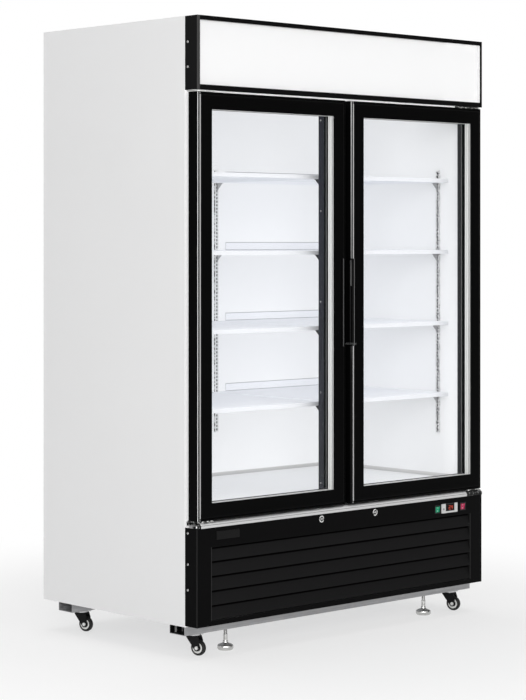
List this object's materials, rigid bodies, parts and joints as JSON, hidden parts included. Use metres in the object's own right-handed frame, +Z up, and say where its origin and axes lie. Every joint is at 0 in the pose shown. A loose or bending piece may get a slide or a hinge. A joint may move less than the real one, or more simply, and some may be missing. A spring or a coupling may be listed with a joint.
{
  "type": "upright display cooler",
  "caption": "Upright glass-door display cooler with a lit sign canopy, adjustable shelves, edge-pull doors, louvred base cover, swivel castors and levelling feet.",
  "frame": {"origin": "on the floor under the middle of the cabinet, at the middle of its width and depth", "axes": "+Z up, the doors face -Y, +X to the right of a person facing the doors"},
  "size_m": [1.37, 0.7603, 2.006],
  "materials": {
    "white_panel": "smooth white powder coat",
    "white_liner": "white coated sheet",
    "black_panel": "black powder coat, satin",
    "foam": "rigid polyurethane foam",
    "black_plastic": "black moulded plastic",
    "door_black": "black extruded plastic frame, semi-gloss",
    "glass": "clear sealed unit",
    "spacer": "mill finish",
    "gasket": "black magnetic gasket",
    "mullion": "black coated sheet",
    "zinc": "zinc plated steel",
    "shelf_white": "white epoxy coated sheet",
    "trim": "brushed bright strip",
    "badge": "bare plate, satin",
    "sign": "opal acrylic sheet, blank",
    "lamp": "frosted tube",
    "green": "translucent green",
    "red": "translucent red",
    "white_plastic": "white moulded plastic",
    "display": "dark window",
    "chrome": "polished plating",
    "galvanised": "galvanised sheet",
    "fork": "black lacquer",
    "tyre": "black tread on a white hub",
    "coil": "finned coil",
    "fan": "moulded blades",
    "compressor": "black lacquer"
  },
  "bodies": {
    "cabinet": {"side_panel_left": "white_panel", "side_panel_right": "white_panel", "back_panel": "white_panel", "outer_skins": "white_panel", "insulation": "foam", "liner": "white_liner", "door_surround": "black_plastic", "mullion": "mullion", "pilasters": "zinc", "shelf_clips": "zinc", "shelves_left": "shelf_white", "shelves_right": "shelf_white", "canopy_housing": "black_panel", "sign_panel": "sign", "canopy_lamp": "lamp", "base_cover": "black_panel", "base_trim": "trim", "badge_plate": "badge", "cover_screws": "black_panel", "rocker_frames": "black_plastic", "thermostat_case": "white_plastic", "thermostat_display": "display", "base_deck": "galvanised", "rear_grille": "galvanised", "compressor": "compressor", "condenser_unit": "coil", "evaporator_cover": "white_liner", "evaporator_unit": "coil", "cross_rails": "galvanised", "castor_plates": "zinc", "hinge_brackets": "black_panel"},
    "door_left": {"door_frame_left": "door_black", "door_glass_left": "glass", "door_spacer_left": "spacer", "door_gasket_left": "gasket", "door_handle_left": "black_plastic"},
    "door_right": {"door_frame_right": "door_black", "door_glass_right": "glass", "door_spacer_right": "spacer", "door_gasket_right": "gasket", "door_handle_right": "black_plastic"},
    "evaporator_fan_left": {"evaporator_fan_left": "fan"},
    "evaporator_fan_right": {"evaporator_fan_right": "fan"},
    "condenser_fan": {"condenser_fan": "fan"},
    "lock_left": {"lock_barrel_left": "chrome"},
    "lock_right": {"lock_barrel_right": "chrome"},
    "green_rocker": {"green_rocker": "green"},
    "red_rocker": {"red_rocker": "red"},
    "thermostat_key": {"thermostat_key": "black_plastic"},
    "castor_fork_front_left": {"castor_fork_front_left": "fork"},
    "castor_wheel_front_left": {"castor_wheel_front_left": "tyre"},
    "castor_fork_front_right": {"castor_fork_front_right": "fork"},
    "castor_wheel_front_right": {"castor_wheel_front_right": "tyre"},
    "castor_fork_rear_left": {"castor_fork_rear_left": "fork"},
    "castor_wheel_rear_left": {"castor_wheel_rear_left": "tyre"},
    "castor_fork_rear_right": {"castor_fork_rear_right": "fork"},
    "castor_wheel_rear_right": {"castor_wheel_rear_right": "tyre"},
    "levelling_foot_left": {"levelling_foot_left": "chrome"},
    "levelling_foot_right": {"levelling_foot_right": "chrome"}
  },
  "joints": [
    {"name": "door_left_hinge", "type": "hinge", "parent": "cabinet", "child": "door_left", "pos_m": [-0.671, -0.3575, 1.101], "axis": [0, 0, -1], "range_deg": [0, 105]},
    {"name": "door_right_hinge", "type": "hinge", "parent": "cabinet", "child": "door_right", "pos_m": [0.671, -0.3575, 1.101], "axis": [0, 0, 1], "range_deg": [0, 105]},
    {"name": "evaporator_fan_left_spin", "type": "hinge", "parent": "cabinet", "child": "evaporator_fan_left", "pos_m": [-0.28, -0.051, 1.7912], "axis": [0, 0, 1], "continuous": true},
    {"name": "evaporator_fan_right_spin", "type": "hinge", "parent": "cabinet", "child": "evaporator_fan_right", "pos_m": [0.28, -0.051, 1.7912], "axis": [0, 0, 1], "continuous": true},
    {"name": "condenser_fan_spin", "type": "hinge", "parent": "cabinet", "child": "condenser_fan", "pos_m": [0.23, -0.2158, 0.2265], "axis": [0, 1, 0], "continuous": true},
    {"name": "lock_left_turn", "type": "hinge", "parent": "cabinet", "child": "lock_left", "pos_m": [-0.129, -0.368, 0.395], "axis": [0, 1, 0], "range_deg": [0, 90]},
    {"name": "lock_right_turn", "type": "hinge", "parent": "cabinet", "child": "lock_right", "pos_m": [0.129, -0.368, 0.395], "axis": [0, -1, 0], "range_deg": [0, 90]},
    {"name": "green_rocker_tip", "type": "hinge", "parent": "cabinet", "child": "green_rocker", "pos_m": [0.4485, -0.374, 0.3775], "axis": [-1, 0, 0], "range_deg": [0, 14]},
    {"name": "red_rocker_tip", "type": "hinge", "parent": "cabinet", "child": "red_rocker", "pos_m": [0.5815, -0.374, 0.3775], "axis": [-1, 0, 0], "range_deg": [0, 14]},
    {"name": "thermostat_key_press", "type": "slide", "parent": "cabinet", "child": "thermostat_key", "axis": [0, 1, 0], "range_m": [0, 0.0008], "stiffness_N_per_m": 400},
    {"name": "castor_front_left_swivel", "type": "hinge", "parent": "cabinet", "child": "castor_fork_front_left", "pos_m": [-0.614, -0.288, 0.062], "axis": [0, 0, 1], "continuous": true},
    {"name": "castor_front_left_roll", "type": "hinge", "parent": "castor_fork_front_left", "child": "castor_wheel_front_left", "pos_m": [-0.60903, -0.30426, 0.025], "axis": [0.9563, 0.2924, 0], "continuous": true},
    {"name": "castor_front_right_swivel", "type": "hinge", "parent": "cabinet", "child": "castor_fork_front_right", "pos_m": [0.614, -0.288, 0.062], "axis": [0, 0, 1], "continuous": true},
    {"name": "castor_front_right_roll", "type": "hinge", "parent": "castor_fork_front_right", "child": "castor_wheel_front_right", "pos_m": [0.61897, -0.30426, 0.025], "axis": [0.9563, 0.2924, 0], "continuous": true},
    {"name": "castor_rear_left_swivel", "type": "hinge", "parent": "cabinet", "child": "castor_fork_rear_left", "pos_m": [-0.614, 0.264, 0.062], "axis": [0, 0, 1], "continuous": true},
    {"name": "castor_rear_left_roll", "type": "hinge", "parent": "castor_fork_rear_left", "child": "castor_wheel_rear_left", "pos_m": [-0.60903, 0.24774, 0.025], "axis": [0.9563, 0.2924, 0], "continuous": true},
    {"name": "castor_rear_right_swivel", "type": "hinge", "parent": "cabinet", "child": "castor_fork_rear_right", "pos_m": [0.614, 0.264, 0.062], "axis": [0, 0, 1], "continuous": true},
    {"name": "castor_rear_right_roll", "type": "hinge", "parent": "castor_fork_rear_right", "child": "castor_wheel_rear_right", "pos_m": [0.61897, 0.24774, 0.025], "axis": [0.9563, 0.2924, 0], "continuous": true},
    {"name": "levelling_foot_left_screw", "type": "slide", "parent": "cabinet", "child": "levelling_foot_left", "axis": [0, 0, 1], "range_m": [-0.012, 0.02]},
    {"name": "levelling_foot_right_screw", "type": "slide", "parent": "cabinet", "child": "levelling_foot_right", "axis": [0, 0, 1], "range_m": [-0.012, 0.02]}
  ]
}
